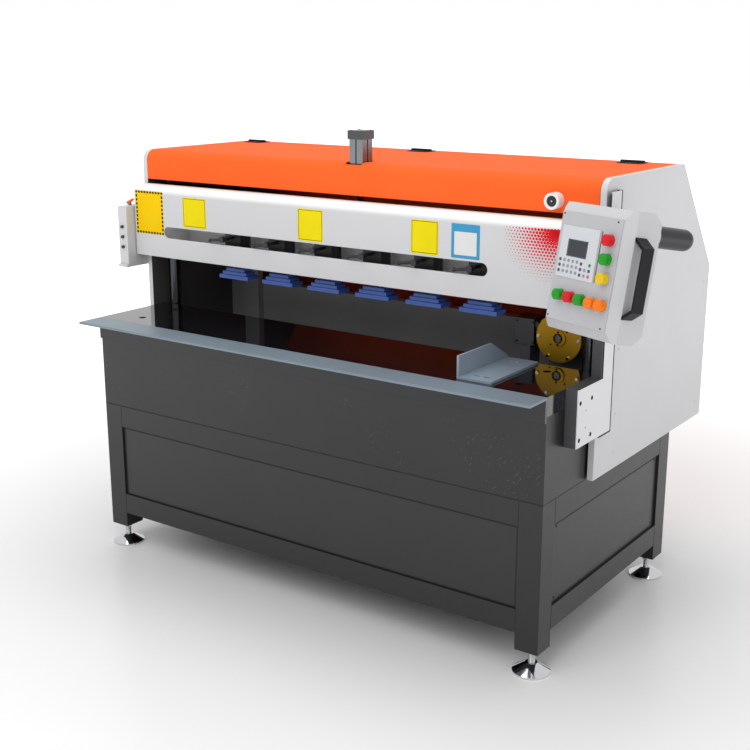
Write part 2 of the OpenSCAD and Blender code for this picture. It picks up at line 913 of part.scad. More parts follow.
module cylinder_body() {
    cap_low = cyl_cap_low;
    color("#c9ccd0") placed() translate([cyl_x, cyl_y, 0]) difference() {
        union() {
            block(-cyl_w / 2, cyl_w / 2, -cyl_w / 2, cyl_w / 2, cyl_low, cap_low);
            block(-cyl_cap_w / 2, cyl_cap_w / 2, -cyl_cap_w / 2, cyl_cap_w / 2, cap_low, cyl_top);
            block(-cyl_cap_w / 2, cyl_cap_w / 2, -cyl_w / 2, cyl_w / 2,
                cyl_low, cyl_low + cyl_flange_h);
        }
        for (a = [0 : 90 : 270]) rotate([0, 0, a])
            block(cyl_w / 2 - cyl_groove_d, cyl_w / 2 + cyl_cap_w, -cyl_groove_w / 2,
                cyl_groove_w / 2, cyl_low + cyl_flange_h, cap_low);
        translate([0, 0, cyl_bore_low])
            cylinder(d = cyl_bore_d, h = cap_low - cyl_bore_low, $fn = big_fn);
        translate([0, 0, cyl_low - cut])
            cylinder(r = rod_d / 2 + run_gap, h = cyl_bore_low - cyl_low + 2 * cut, $fn = fine_fn);
    }
}

module cylinder_rod() {
    piston_top = cyl_cap_low - piston_gap;
    color("silver") placed() translate([cyl_x, cyl_y, 0]) union() {
        translate([0, 0, body_top]) cylinder(d = rod_d, h = piston_top - body_top, $fn = fine_fn);
        translate([0, 0, piston_top - piston_h])
            cylinder(r = cyl_bore_d / 2 - run_gap, h = piston_h, $fn = big_fn);
    }
}

// A pressing pad with its guide pins and the block that slides in the beam
module press_pad(i) {
    widths = [for (s = pad_step_in_shares) pad_l * (1 - 2 * s)];
    depths = [for (s = pad_step_in_shares) pad_d * (1 - 2 * s)];
    lows = [0, pad_step_hs[0], pad_step_hs[0] + pad_step_hs[1]];
    pad_top = lows[2] + pad_step_hs[2];
    block_low = channel_low + gap;
    color("#3c5aa0") placed() translate([first_pad_x + i * pad_pitch, pad_y, 0]) union() {
        for (k = [0 : 2])
            block(-widths[k] / 2, widths[k] / 2, -depths[k] / 2, depths[k] / 2,
                pad_low + lows[k], pad_low + lows[k] + pad_step_hs[k]);
        for (s = [-1, 1]) translate([s * pin_off, 0, pad_low + pad_top])
            cylinder(d = pin_d, h = block_low - pad_low - pad_top, $fn = fine_fn);
        difference() {
            block(-block_l / 2, block_l / 2, -block_d / 2, block_d / 2, block_low, block_low + block_h);
            translate([0, -block_d / 2 - cut, slot_z])
                rod_y(lever_neck_d / 2 + run_gap, neck_hole_depth + cut);
        }
    }
}

// Half profile of a lever's tapered arm with its ball
module lever_arm_shape() {
    union() {
        polygon([[0, 0], [lever_root_d / 2, 0], [lever_arm_d / 2, lever_arm_l], [0, lever_arm_l]]);
        intersection() {
            translate([0, lever_arm_l]) circle(d = lever_ball_d, $fn = fine_fn);
            square([lever_ball_d, lever_arm_l + lever_ball_d]);
        }
    }
}

// A clamping lever whose neck turns in the pad's block
module lock_lever(i) {
    neck_rear = pad_y - block_d / 2 + neck_hole_depth - neck_end_gap;
    hub_l = beam_front - lever_front - gap;
    mid = lever_front + hub_l / 2;
    color("#1c1c1e") placed() translate([first_pad_x + i * pad_pitch, 0, slot_z]) union() {
        translate([0, lever_front, 0]) rod_y(lever_hub_d / 2, hub_l);
        translate([0, lever_front, 0]) rod_y(lever_neck_d / 2, neck_rear - lever_front);
        translate([0, mid, 0]) rotate([0, -90 - lever_drop, 0])
            rotate_extrude($fn = fine_fn) lever_arm_shape();
    }
}

module press_pad_1() { press_pad(0); }
module press_pad_2() { press_pad(1); }
module press_pad_3() { press_pad(2); }
module press_pad_4() { press_pad(3); }
module press_pad_5() { press_pad(4); }
module press_pad_6() { press_pad(5); }
module lock_lever_1() { lock_lever(0); }
module lock_lever_2() { lock_lever(1); }
module lock_lever_3() { lock_lever(2); }
module lock_lever_4() { lock_lever(3); }
module lock_lever_5() { lock_lever(4); }
module lock_lever_6() { lock_lever(5); }

// Cutter head
module way_beam() {
    color("#4a4b4e") placed()
        block(-way_half, way_half, way_front, way_front + way_d, frame_top + deck_t, way_top);
}

function rail_ys() = [way_front + rail_in, way_front + way_d - rail_in];

module linear_rails() {
    color("silver") placed() for (y = rail_ys()) difference() {
        block(-way_half, way_half, y - rail_w / 2, y + rail_w / 2, way_top, way_top + rail_tall);
        for (s = [-1, 1])
            block(-way_half - cut, way_half + cut, y + s * rail_w / 2 - rail_w / 8,
                y + s * rail_w / 2 + rail_w / 8, way_top + rail_tall / 3, way_top + 2 * rail_tall / 3);
    }
}

module carriage() {
    plate_low = way_top + rail_tall + slide_gap + rail_tall / 3;
    plate_top = plate_low + plate_thick;
    right = carriage_right;
    color("#5a5c60") placed() difference() {
        union() {
            block(carriage_left, right, carriage_front, carriage_front + carriage_d, plate_low, plate_top);
            for (y = rail_ys(), x = [carriage_left, right - slide_l])
                block(x, x + slide_l, y - slide_w / 2, y + slide_w / 2, way_top + 2 * slide_gap, plate_low);
            block(spindle_x - riser_l / 2, spindle_x + riser_l / 2, motor_front + motor_hole_l / 2,
                motor_front + motor_l - motor_hole_l / 2, plate_top, spindle_z - motor_d / 4);
            block(nozzle_x + nozzle_l / 4, nozzle_x + 3 * nozzle_l / 4, nozzle_y + nozzle_wall * 3,
                nozzle_y + nozzle_d, plate_top, nozzle_low);
        }
        translate([spindle_x, motor_front, spindle_z]) rod_y(motor_d / 2, motor_l, big_fn);
        for (y = rail_ys())
            block(carriage_left - cut, right + cut, y - rail_w / 2 - slide_gap,
                y + rail_w / 2 + slide_gap, way_top, way_top + rail_tall + slide_gap);
    }
}

module spindle_motor() {
    color("#6b6e73") placed() translate([spindle_x, motor_front, spindle_z]) difference() {
        rod_y(motor_d / 2, motor_l, big_fn);
        translate([0, -cut, 0]) rod_y(shaft_d / 2 + run_gap, motor_hole_l + cut, big_fn);
    }
}

module cutter_disc() {
    hub_front = disc_front - hub_t;
    color("#c79a2b") placed() translate([spindle_x, 0, spindle_z]) difference() {
        union() {
            translate([0, disc_front, 0]) rod_y(cutter_d / 2, disc_t, big_fn);
            translate([0, hub_front, 0]) rod_y(hub_d / 2, hub_t + cut, big_fn);
            translate([0, disc_front + disc_t - cut, 0])
                rod_y(shaft_d / 2, motor_front + motor_hole_l - disc_front - disc_t, big_fn);
        }
        translate([0, hub_front - cut, 0]) rod_y(hub_bore_d / 2, hub_bore_depth + cut, big_fn);
    }
}

module cutter_inserts() {
    r = cutter_d / 2 - insert_in;
    color("#e6e6e6") placed() translate([spindle_x, disc_front - insert_t, spindle_z])
        for (k = [0 : insert_count - 1]) rotate([0, k * 360 / insert_count, 0])
            translate([r, 0, 0]) rod_y(insert_d / 2, insert_t);
}

module dust_nozzle() {
    t = nozzle_wall;
    x1 = nozzle_x + nozzle_l;
    y1 = nozzle_y + nozzle_d;
    z1 = nozzle_low + nozzle_h;
    color("#4b4e52") placed() difference() {
        union() {
            block(nozzle_x, x1, nozzle_y, y1, nozzle_low, z1);
            translate([nozzle_x + nozzle_l / 2, y1 - t, nozzle_low + nozzle_h / 2])
                rod_y(nozzle_l / 3, nozzle_d / 2);
        }
        block(nozzle_x + t, x1 + cut, nozzle_y + t, y1 - t, nozzle_low + t, z1 - t);
        translate([nozzle_x + nozzle_l / 2, y1 - 2 * t, nozzle_low + nozzle_h / 2])
            rod_y(nozzle_l / 3 - t, nozzle_d / 2 + 2 * t);
    }
}

module rear_guard() {
    base = frame_top + deck_t;
    color("#6d6e70") placed() union() {
        block(-house_in, house_in, guard_y, guard_y + sheet_t, base, guard_top);
        block(-house_in, house_in, guard_y, guard_y + guard_lip, guard_top - sheet_t, guard_top);
        block(duct_x, duct_x + duct_l, guard_y - duct_d, guard_y, base, duct_top);
    }
}

module pneumatic_box() {
    x0 = -house_out - box_t;
    color("white") placed() union() {
        block(x0, -house_out, box_front, box_front + box_d, box_low, box_low + box_h);
        block(x0, -house_out, box_front - box_lip, box_front + box_d, box_low, box_low + box_lip_h);
        for (z = [box_h / 3, box_h / 2, 2 * box_h / 3])
            translate([x0 + box_t / 2, box_front - fitting_l, box_low + z])
                rod_y(fitting_d / 2, fitting_l + cut, small_fn);
    }
}

// Console and its arm
module arm_bracket() {
    low = elbow_z - eye_h / 2 - gap;
    high = elbow_z + eye_h / 2 + gap;
    color("#3a3b3e") placed() union() {
        block(plate_out, plate_out + flange_t, pivot_y - flange_w / 2, pivot_y + flange_w / 2,
            low - lug_t - flange_t, high + lug_t + flange_t);
        for (z = [low - lug_t, high]) {
            translate([pivot_x, pivot_y, z]) cylinder(d = eye_d, h = lug_t, $fn = fine_fn);
            block(plate_out + flange_t, pivot_x, pivot_y - eye_d / 2, pivot_y + eye_d / 2, z, z + lug_t);
        }
        translate([pivot_x, pivot_y, low - lug_t])
            cylinder(d = pivot_pin_d, h = high - low + 2 * lug_t, $fn = fine_fn);
    }
}

// Half profile of a round bar of length l that ends in a half ball
module capped_tube_shape(l) {
    union() {
        square([arm_d / 2, l]);
        intersection() {
            translate([0, l]) circle(d = arm_d, $fn = big_fn);
            square([arm_d, l + arm_d]);
        }
    }
}

module console_arm() {
    dx = elbow_x - pivot_x;
    dy = elbow_y - pivot_y;
    reach = sqrt(dx * dx + dy * dy);
    rear = console_d + console_hub_t;
    color("#4a4c50") placed() difference() {
        union() {
            translate([pivot_x, pivot_y, elbow_z - eye_h / 2])
                cylinder(d = eye_d, h = eye_h, $fn = fine_fn);
            translate([pivot_x, pivot_y, elbow_z]) rotate([0, 0, atan2(dy, dx)])
                rod_x(leg_tube_d / 2, reach);
            on_console() translate([hub_x, rear, hub_z]) rotate([-90, 0, 0])
                rotate_extrude($fn = big_fn) capped_tube_shape(elbow_back - rear);
        }
        translate([pivot_x, pivot_y, elbow_z - eye_h])
            cylinder(r = pivot_pin_d / 2 + run_gap, h = 2 * eye_h, $fn = fine_fn);
    }
}

module console_hub() {
    color("white") placed() on_console() translate([hub_x, console_d, hub_z])
        rod_y(console_hub_d / 2, console_hub_t, big_fn);
}

module console_end_profile() {
    low = -console_h / 2;
    high = console_h / 2;
    polygon([[0, low + box_chamfer_front], [box_chamfer_run, low],
        [console_d - box_chamfer_rear_run, low], [console_d, low + box_chamfer_rear],
        [console_d, high - box_chamfer_rear], [console_d - box_chamfer_rear_run, high],
        [box_chamfer_run, high], [0, high - box_chamfer_front]]);
}

module console_box() {
    half = console_w / 2;
    side = half + box_side;
    color("white") placed() on_console() difference() {
        intersection() {
            along_x(-side, side) console_end_profile();
            translate([0, 0, -console_h]) linear_extrude(2 * console_h)
                polygon([[-half, 0], [half, 0], [side, box_side], [side, console_d],
                    [-half + box_side, console_d], [-half - box_side / 5, console_d - box_side],
                    [-half - box_side / 5, box_side / 5]]);
        }
        block(-half + pocket_side, half - pocket_side, -cut, pocket_d,
            -face_h / 2 + pocket_side, face_h / 2 - pocket_side);
    }
}

module console_face() {
    color("#c4c6ca") placed() on_console() difference() {
        union() {
            block(-console_w / 2, console_w / 2, -face_t, 0, -face_h / 2, face_h / 2);
            for (p = button_places) translate([p[0], -face_t - bezel_h, p[1]])
                rod_y(button_d / 2 + bezel_w, bezel_h + cut);
        }
        for (p = button_places) {
            translate([p[0], -face_t - bezel_h - cut, p[1]]) rod_y(button_d / 2 + gap, bezel_h + cut);
            translate([p[0], -face_t - cut, p[1]]) rod_y(button_stem_d / 2 + run_gap, face_t + 2 * cut);
        }
    }
}

module control_panel() {
    y1 = -face_t;
    color("#dcdde6") placed() on_console() difference() {
        block(panel_left, panel_left + panel_w, y1 - panel_thick, y1, panel_low, panel_low + panel_h);
        block(screen_left, screen_left + screen_w, y1 - panel_thick - cut, y1 - panel_thick + screen_depth,
            screen_low, screen_low + screen_h);
    }
}

module console_handle() {
    x0 = console_w / 2 + box_side;
    t = handle_bar;
    low = handle_half - handle_drop;
    color("#2a2a2c") placed() on_console() translate([0, handle_back + handle_w, 0])
        rotate([90, 0, 0]) linear_extrude(handle_w)
            polygon([[x0, handle_half + t], [x0, handle_half - t], [x0 + handle_out, low - t],
                [x0 + handle_out, -low + t], [x0, -handle_half + t], [x0, -handle_half - t],
                [x0 + handle_out + t, -low - t / 2], [x0 + handle_out + t, low + t / 2]]);
}

// A push button with its stem behind the face
module push_button(i) {
    p = button_places[i];
    front = -face_t - button_lift - button_h;
    color(button_colours[i]) placed() on_console() translate([p[0], 0, p[1]]) union() {
        translate([0, front, 0]) rod_y(button_d / 2, button_h);
        translate([0, -face_t - button_lift - cut, 0]) rod_y(button_stem_d / 2, button_stem_l);
    }
}

module button_1() { push_button(0); }
module button_2() { push_button(1); }
module button_3() { push_button(2); }
module button_4() { push_button(3); }
module button_5() { push_button(4); }
module button_6() { push_button(5); }
module button_7() { push_button(6); }
module button_8() { push_button(7); }

base_frame();
levelling_feet();
front_panel();
infill_panels();
deck_plate();
marble_top();
marble_apron();
edge_profile();
fence();
support_plate();
spacer_block();
left_housing();
right_housing();
rear_cover();
hood();
hinge_fixed_leaves();
hinge_moving_leaves();
hood_knob();
top_crossbeam();
pressing_beam();
beam_cover();
guide_columns();
cylinder_body();
cylinder_rod();
press_pad_1();
press_pad_2();
press_pad_3();
press_pad_4();
press_pad_5();
press_pad_6();
lock_lever_1();
lock_lever_2();
lock_lever_3();
lock_lever_4();
lock_lever_5();
lock_lever_6();
way_beam();
linear_rails();
carriage();
spindle_motor();
cutter_disc();
cutter_inserts();
dust_nozzle();
rear_guard();
pneumatic_box();
arm_bracket();
console_arm();
console_hub();
console_box();
console_face();
control_panel();
console_handle();
button_1();
button_2();
button_3();
button_4();
button_5();
button_6();
button_7();
button_8();
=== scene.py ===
import bmesh
import bpy
import math
import random
from mathutils import Matrix, Vector


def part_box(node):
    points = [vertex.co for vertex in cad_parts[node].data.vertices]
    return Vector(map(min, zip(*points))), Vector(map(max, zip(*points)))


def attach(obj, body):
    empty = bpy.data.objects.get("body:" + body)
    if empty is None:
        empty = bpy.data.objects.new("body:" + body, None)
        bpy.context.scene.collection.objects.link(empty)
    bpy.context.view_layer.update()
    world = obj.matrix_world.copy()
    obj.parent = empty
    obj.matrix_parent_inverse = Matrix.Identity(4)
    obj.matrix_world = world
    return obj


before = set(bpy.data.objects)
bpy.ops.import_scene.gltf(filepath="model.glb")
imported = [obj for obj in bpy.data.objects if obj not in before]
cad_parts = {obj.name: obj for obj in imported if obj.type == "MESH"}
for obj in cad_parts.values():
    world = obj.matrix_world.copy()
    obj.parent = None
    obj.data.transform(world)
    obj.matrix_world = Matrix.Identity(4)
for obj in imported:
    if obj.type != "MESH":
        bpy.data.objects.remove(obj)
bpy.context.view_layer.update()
random.seed(7)

# Middle of the base frame on the floor, from which the places below are measured in millimetres
base_lo, base_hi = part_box("base_frame")
ORIGIN = Vector(((base_lo.x + base_hi.x) / 2, (base_lo.y + base_hi.y) / 2, 0))


def at(x, y, z):
    return ORIGIN + Vector((x, y, z)) / 1000


def mm(node):
    lo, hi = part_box(node)
    return (lo - ORIGIN) * 1000, (hi - ORIGIN) * 1000


# Colours and materials
def rgb(h):
    c = [int(h[i:i + 2], 16) / 255 for i in (1, 3, 5)]
    return [x / 12.92 if x <= 0.04045 else ((x + 0.055) / 1.055) ** 2.4 for x in c] + [1]


class Nodes:
    def __init__(self, name):
        self.m = bpy.data.materials.new(name)
        self.m.use_nodes = True
        self.t = self.m.node_tree
        self.p = self.t.nodes["Principled BSDF"]
        self.co = self.new("ShaderNodeTexCoord").outputs["Object"]

    def new(self, kind, **props):
        n = self.t.nodes.new(kind)
        for k, v in props.items():
            setattr(n, k, v)
        return n

    def link(self, a, b):
        self.t.links.new(a, b)

    def feed(self, socket, v):
        """Gives an input the value or the output of another node."""
        if isinstance(v, bpy.types.NodeSocket):
            self.link(v, socket)
        else:
            socket.default_value = v

    def mapped(self, scale=(1, 1, 1), turn=(0, 0, 0), vector=None):
        n = self.new("ShaderNodeMapping")
        n.inputs["Scale"].default_value = scale
        n.inputs["Rotation"].default_value = turn
        self.link(vector or self.co, n.inputs["Vector"])
        return n.outputs["Vector"]

    def noise(self, scale, detail=3.0, rough=0.5, vector=None, distortion=0.0):
        n = self.new("ShaderNodeTexNoise")
        n.inputs["Scale"].default_value = scale
        n.inputs["Detail"].default_value = detail
        n.inputs["Roughness"].default_value = rough
        n.inputs["Distortion"].default_value = distortion
        self.link(vector or self.co, n.inputs["Vector"])
        return n.outputs["Fac"]

    def ramp(self, fac, stops):
        n = self.new("ShaderNodeValToRGB")
        for e, (pos, col) in zip(n.color_ramp.elements, stops):
            e.position = pos
            e.color = col
        self.link(fac, n.inputs["Fac"])
        return n.outputs["Color"]

    def mix(self, fac, a, b, mode="MIX"):
        n = self.new("ShaderNodeMix", data_type="RGBA", blend_type=mode)
        for i, v in ((0, fac), (6, a), (7, b)):
            self.feed(n.inputs[i], v)
        return n.outputs[2]

    def bump(self, height, strength, distance, radius=0.0):
        n = self.new("ShaderNodeBump")
        n.inputs["Strength"].default_value = strength
        n.inputs["Distance"].default_value = distance
        self.link(height, n.inputs["Height"])
        if radius:
            b = self.new("ShaderNodeBevel", samples=4)
            b.inputs["Radius"].default_value = radius
            self.link(b.outputs["Normal"], n.inputs["Normal"])
        self.link(n.outputs["Normal"], self.p.inputs["Normal"])

    def math(self, kind, a, b):
        n = self.new("ShaderNodeMath", operation=kind)
        self.feed(n.inputs[0], a)
        self.feed(n.inputs[1], b)
        return n.outputs[0]

    def place(self, axis, value, above=True):
        """1 where the machine coordinate of an axis, in millimetres, is above or below a value."""
        n = self.new("ShaderNodeSeparateXYZ")
        self.link(self.co, n.inputs[0])
        limit = value / 1000 + ORIGIN["XYZ".index(axis)]
        return self.math("GREATER_THAN" if above else "LESS_THAN", n.outputs[axis], limit)

    def recolour(self, mask, hexa):
        """Gives the base colour another colour where the mask is 1."""
        old = self.p.inputs["Base Color"].links[0].from_socket
        self.link(self.mix(mask, old, rgb(hexa)), self.p.inputs["Base Color"])

    def rough(self, fac, lo, hi):
        n = self.new("ShaderNodeMapRange")
        n.inputs["To Min"].default_value = lo
        n.inputs["To Max"].default_value = hi
        self.link(fac, n.inputs["Value"])
        self.link(n.outputs["Result"], self.p.inputs["Roughness"])


def paint(name, hexa, lo=0.32, hi=0.42, spread=0.05, peel=1.0, radius=0.0015, shine=0.5, over=None):
    k = Nodes(name)
    c = rgb(hexa)
    dark = [x * (1 - spread) for x in c[:3]] + [1]
    light = [min(1, x * (1 + spread)) for x in c[:3]] + [1]
    k.link(k.ramp(k.noise(5.0, 4.0), [(0.35, dark), (0.65, light)]), k.p.inputs["Base Color"])
    k.rough(k.noise(28.0, 5.0), lo, hi)
    k.bump(k.noise(950.0, 2.0), 0.10 * peel, 0.0004, radius)
    k.p.inputs["Specular IOR Level"].default_value = shine
    if over:
        over(k)
    return k.m


def metal(name, hexa, lo=0.2, hi=0.3, axis=None, radius=0.0008, grain=0.12, over=None):
    k = Nodes(name)
    c = rgb(hexa)
    k.p.inputs["Metallic"].default_value = 1.0
    scale = {None: (60, 60, 60), "x": (4, 420, 420), "y": (420, 4, 420), "z": (420, 420, 4)}[axis]
    n = k.noise(1.0 if axis else 6.0, 4.0, 0.6, k.mapped(scale))
    dark = [x * 0.9 for x in c[:3]] + [1]
    k.link(k.ramp(n, [(0.3, dark), (0.7, c)]), k.p.inputs["Base Color"])
    k.rough(n, lo, hi)
    k.bump(n, grain, 0.0002, radius)
    if over:
        over(k)
    return k.m


def plastic(name, hexa, lo=0.4, hi=0.5, grain=0.15, radius=0.001, depth=0.0, glow=0.0, shine=0.5,
            over=None):
    k = Nodes(name)
    c = rgb(hexa)
    n = k.noise(9.0, 3.0)
    k.link(k.ramp(n, [(0.3, [x * 0.93 for x in c[:3]] + [1]), (0.7, c)]), k.p.inputs["Base Color"])
    k.rough(k.noise(60.0, 3.0), lo, hi)
    k.bump(k.noise(700.0, 2.0), grain, 0.0003, radius)
    k.p.inputs["Specular IOR Level"].default_value = shine
    if depth:
        k.p.inputs["Subsurface Weight"].default_value = depth
        k.p.inputs["Subsurface Radius"].default_value = (0.006, 0.006, 0.006)
    if glow:
        k.p.inputs["Emission Color"].default_value = c
        k.p.inputs["Emission Strength"].default_value = glow
    if over:
        over(k)
    return k.m


def granite(name, low, high, lo, hi, shine, vein, coat):
    k = Nodes(name)
    base = k.ramp(k.noise(3.2, 6.0, 0.6), [(0.3, rgb(low)), (0.7, rgb(high))])
    slant = k.mapped(turn=(0, math.radians(52), math.radians(-14)))
    streaks = k.noise(1.0, 2.0, 0.5, k.mapped((15, 230, 230), vector=slant), 0.35)
    none, full = (0, 0, 0, 1), (1, 1, 1, 1)
    fleck = k.ramp(streaks, [(0.66, none), (0.72, full)])
    patch = k.ramp(k.noise(4.2, 2.0), [(0.52, none), (0.6, full)])
    mask = k.mix(1.0, k.mix(1.0, fleck, patch, "MULTIPLY"), (vein, vein, vein, 1), "MULTIPLY")
    speck = k.ramp(k.noise(420.0, 2.0), [(0.72, none), (0.8, (0.03, 0.03, 0.032, 1))])
    k.link(k.mix(1.0, k.mix(mask, base, rgb("#a0a0a4")), speck, "ADD"), k.p.inputs["Base Color"])
    k.rough(k.noise(18.0, 4.0), lo, hi)
    k.p.inputs["Specular IOR Level"].default_value = shine
    k.p.inputs["Coat Weight"].default_value = coat
    k.p.inputs["Coat Roughness"].default_value = 0.03
    k.bump(k.noise(30.0, 2.0), 0.02, 0.0002, 0.001)
    return k.m


# Parts of a node coloured apart, found by their place in the machine: some have a colour of their own, and
# some carry painted shade or a painted highlight
# Painted shade: the housings' inner faces are coloured dark grey, as the shade inside the machine.
def painted_shade_inner_faces(k):
    inner = mm("right_housing")[0].x + 0.4
    k.recolour(k.math("MULTIPLY", k.place("X", -inner), k.place("X", inner, False)), "#4a4a4b")


# Painted shade: under the overhanging flange the profile's vertical leg is coloured near black and its
# right end face darker grey.
def painted_shade_on_leg(k):
    hi, wall = mm("edge_profile")[1], 8
    below = k.place("Z", hi.z - wall - 0.2, False)
    k.recolour(k.math("MULTIPLY", k.place("Y", hi.y - wall - 0.4), below), "#17191c")
    k.recolour(k.math("MULTIPLY", k.place("X", hi.x - 0.5), below), "#5a6268")


def dark_block(k):
    block_low = 1092.0
    k.recolour(k.place("Z", block_low), "#121214")


def dark_fittings(k):
    box_front, fittings_low = -300.3, 1064.0
    k.recolour(k.math("MULTIPLY", k.place("Y", box_front, False), k.place("Z", fittings_low)), "#303133")


# Painted shade: behind the side plate's outer face and away from its rim, the hole walls are coloured near
# black, as the shade deep in the holes.
def painted_shade_in_holes(k):
    lo, hi = mm("support_plate")
    rim = 4
    mask = k.place("X", hi.x - 0.4, False)
    for axis, low, high in (("Y", lo.y, hi.y), ("Z", lo.z, hi.z)):
        mask = k.math("MULTIPLY", mask, k.place(axis, low + rim))
        mask = k.math("MULTIPLY", mask, k.place(axis, high - rim, False))
    k.recolour(mask, "#08080a")


def painted_highlight_on_bend(k):
    """Painted highlight: lightens the coat upwards, where the bend turns to the light."""
    edge, below, above = mm("beam_cover")[1].z, 13, 12
    n = k.new("ShaderNodeSeparateXYZ")
    k.link(k.co, n.inputs[0])
    rise = k.new("ShaderNodeMapRange", interpolation_type="SMOOTHSTEP")
    rise.inputs["From Min"].default_value = (edge - below) / 1000
    rise.inputs["From Max"].default_value = (edge + above) / 1000
    k.link(n.outputs["Z"], rise.inputs["Value"])
    k.recolour(rise.outputs["Result"], "#f6f6f4")


def dark_ends(k):
    lo, hi = mm("cylinder_body")
    cap, foot = 29.1, 12.1
    ends = k.math("MAXIMUM", k.place("Z", hi.z - cap), k.place("Z", lo.z + foot, False))
    k.recolour(ends, "#3f4042")
    k.link(k.math("SUBTRACT", 1.0, ends), k.p.inputs["Metallic"])


MAT = {
    "charcoal": paint("coat_charcoal", "#1b1b1c", 0.3, 0.4),
    "charcoal_panel": paint("coat_panel", "#212122", 0.28, 0.38),
    "chrome": metal("chrome", "#d8d9dc", 0.05, 0.1, None, 0.001, 0.03),
    "granite": granite("black_granite", "#0b0b0d", "#15151a", 0.03, 0.07, 0.5, 0.5, 0.6),
    "apron": granite("black_apron", "#151516", "#1a1a1b", 0.3, 0.38, 0.5, 0.16, 0.0),
    "profile": paint("coat_profile", "#75848f", 0.3, 0.4, 0.04, over=painted_shade_on_leg),
    "bluegrey": paint("coat_blue_grey", "#8c9ba9", 0.3, 0.4, 0.04),
    "white": paint("coat_white", "#cdcdcf", 0.34, 0.44, 0.012, shine=0.4),
    "housing": paint("coat_housing", "#cdcdcf", 0.34, 0.44, 0.012, shine=0.4, over=painted_shade_inner_faces),
    "plate": paint("coat_plate", "#dcdcde", 0.34, 0.44, 0.012, shine=0.4, over=painted_shade_in_holes),
    "bend": paint("coat_bend", "#cdcdcf", 0.34, 0.44, 0.012, radius=0.0, shine=0.4, over=painted_highlight_on_bend),
    "console": paint("coat_console", "#bfbfc1", 0.34, 0.44, 0.012, shine=0.4),
    "box": paint("coat_box", "#cdcdcf", 0.34, 0.44, 0.012, shine=0.4, over=dark_fittings),
    "orange": paint("coat_orange", "#fc6529", 0.6, 0.7, 0.025, shine=0.08),
    "dark": paint("coat_dark", "#2e2f32", 0.4, 0.5),
    "beam": paint("coat_beam", "#f0f0f0", 0.3, 0.4),
    "block": paint("coat_block", "#464749", 0.36, 0.46),
    "guard": paint("coat_guard", "#9a9b9d", 0.26, 0.38),
    "hinge": metal("black_hinge", "#222224", 0.35, 0.5),
    "tube": metal("cylinder_tube", "#808285", 0.16, 0.28, "z", over=dark_ends),
    "column": metal("dark_column", "#444548", 0.16, 0.26, "z", 0.001, 0.05),
    "shaft": metal("ground_shaft", "#4c4d50", 0.06, 0.12, "z", 0.001, 0.05),
    "rail": metal("ground_rail", "#b9bbbf", 0.18, 0.26, "x"),
    "pad": plastic("blue_pad", "#3a5cab", 0.38, 0.5, over=dark_block),
    "black": plastic("black_plastic", "#17171a", 0.35, 0.48),
    "seal": plastic("black_seal", "#070707", 0.6, 0.7),
    "anodised": metal("black_anodised", "#2a2a2d", 0.35, 0.48, "z"),
    "iron": paint("cast_iron", "#55575c", 0.4, 0.55, 0.1, 3.0),
    "motor": metal("motor_tube", "#85888e", 0.3, 0.4, "y"),
    "gold": metal("gold_disc", "#c0942a", 0.4, 0.52, None, 0.0012, 0.1),
    "insert": metal("insert_steel", "#dfe0e2", 0.15, 0.25),
    "arm": metal("arm_tube", "#4a4b4d", 0.26, 0.36, None, 0.001, 0.05),
    "face": paint("coat_face", "#b4b5b8", 0.4, 0.5, 0.02, shine=0.35),
    "film": plastic("label_film", "#c9ccd0", 0.3, 0.4, 0.05),
    "red": plastic("lens_red", "#cf0b1b", 0.16, 0.24, 0.02, 0.0015, 0.1, 0.08, 0.3),
    "green": plastic("lens_green", "#149318", 0.16, 0.24, 0.02, 0.0015, 0.1, 0.08, 0.3),
    "yellow": plastic("lens_yellow", "#dcbc12", 0.16, 0.24, 0.02, 0.0015, 0.1, 0.05, 0.3),
    "amber": plastic("lens_amber", "#f0780c", 0.16, 0.24, 0.02, 0.0015, 0.1, 0.05, 0.3),
    "knob": plastic("knob_white", "#eeeeef", 0.25, 0.35, 0.05),
    "screen": plastic("screen", "#2e3236", 0.06, 0.1, 0.02),
    "decal_yellow": plastic("film_yellow", "#f0dc14", 0.5, 0.6, 0.04, shine=0.06),
    "decal_amber": plastic("film_amber", "#f8cb08", 0.5, 0.6, 0.04, shine=0.06),
    "decal_blue": plastic("film_blue", "#4299c4", 0.5, 0.6, 0.04, shine=0.1),
    "decal_white": plastic("film_white", "#dfe0df", 0.5, 0.6, 0.04, shine=0.2),
    "decal_black": plastic("film_black", "#0c0c0c", 0.5, 0.6, 0.04, shine=0.06),
    "decal_red": plastic("film_red", "#dd1a24", 0.5, 0.6, 0.04, shine=0.1),
    "key_grey": plastic("key_grey", "#8a8f9c", 0.35, 0.45, 0.05),
    "key_navy": plastic("key_navy", "#3c4660", 0.35, 0.45, 0.05),
    "key_rose": plastic("key_rose", "#c75a72", 0.35, 0.45, 0.05),
    "screw": metal("screw_zinc", "#7d7f83", 0.3, 0.42),
    "screw_black": metal("screw_black", "#1c1c1e", 0.35, 0.48),
}

